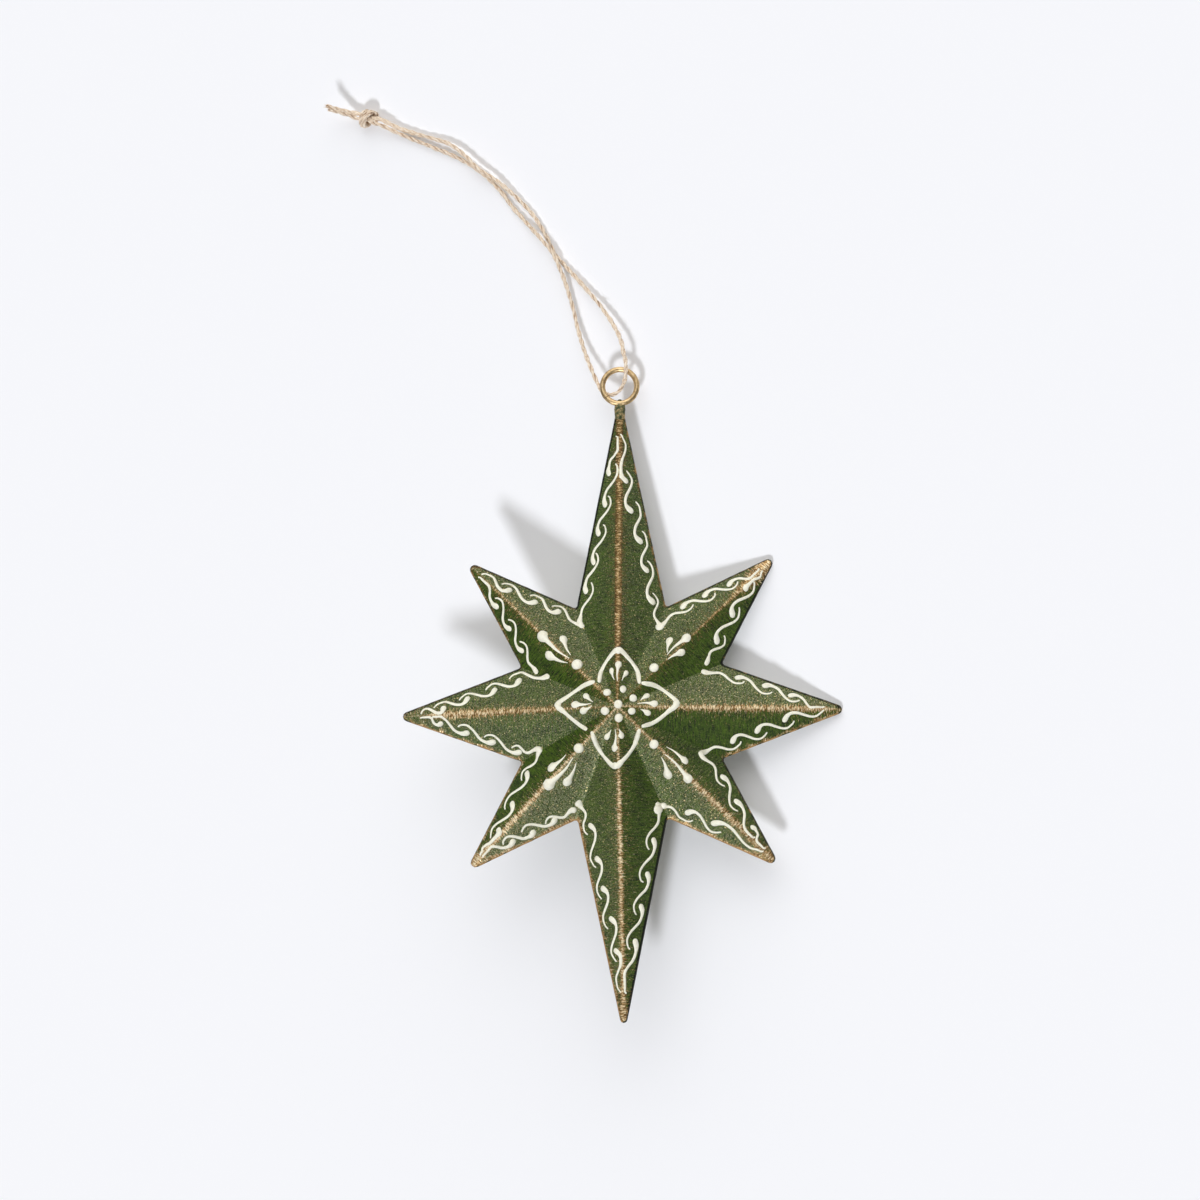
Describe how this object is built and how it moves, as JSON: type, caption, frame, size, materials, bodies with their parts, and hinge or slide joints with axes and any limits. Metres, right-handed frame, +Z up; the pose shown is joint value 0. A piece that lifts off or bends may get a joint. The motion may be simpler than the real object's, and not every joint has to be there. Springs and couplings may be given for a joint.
{
  "type": "star ornament",
  "caption": "Hanging ornament: hollow faceted star of two pressed sheet-metal halves, soldered wire ring and knotted twine loop, painted green with cream scrolls and gold ridges.",
  "frame": {"origin": "middle of the footprint of the star with its ring, on the surface that it lies on", "axes": "+Z up from the surface, +Y towards the ring along the long arms, +X to the right seen from above with the ring at the top"},
  "size_m": [0.1213, 0.218, 0.0244],
  "materials": {
    "green_paint": "satin paint on sheet iron, brushed, with gold on the ridges",
    "gold_rim": "solder seam brushed with gold and green paint",
    "brass_wire": "drawn wire, polished",
    "painted_solder": "solder under thin green paint",
    "hemp_twine": "natural two-ply hemp"
  },
  "bodies": {
    "star": {"front_shell": "green_paint", "rear_shell": "green_paint", "seam_solder": "gold_rim", "hanging_ring": "brass_wire", "ring_solder": "painted_solder"},
    "hanging_loop": {"twine_loop": "hemp_twine", "twine_knot": "hemp_twine", "twine_tail_long": "hemp_twine", "twine_tail_short": "hemp_twine"}
  },
  "joints": [
    {"name": "loop_swing", "type": "hinge", "parent": "star", "child": "hanging_loop", "pos_m": [-0.00091, 0.07125, 0.00437], "axis": [0.6775, -0.7351, 0.0267], "range_deg": [0, 120]}
  ]
}
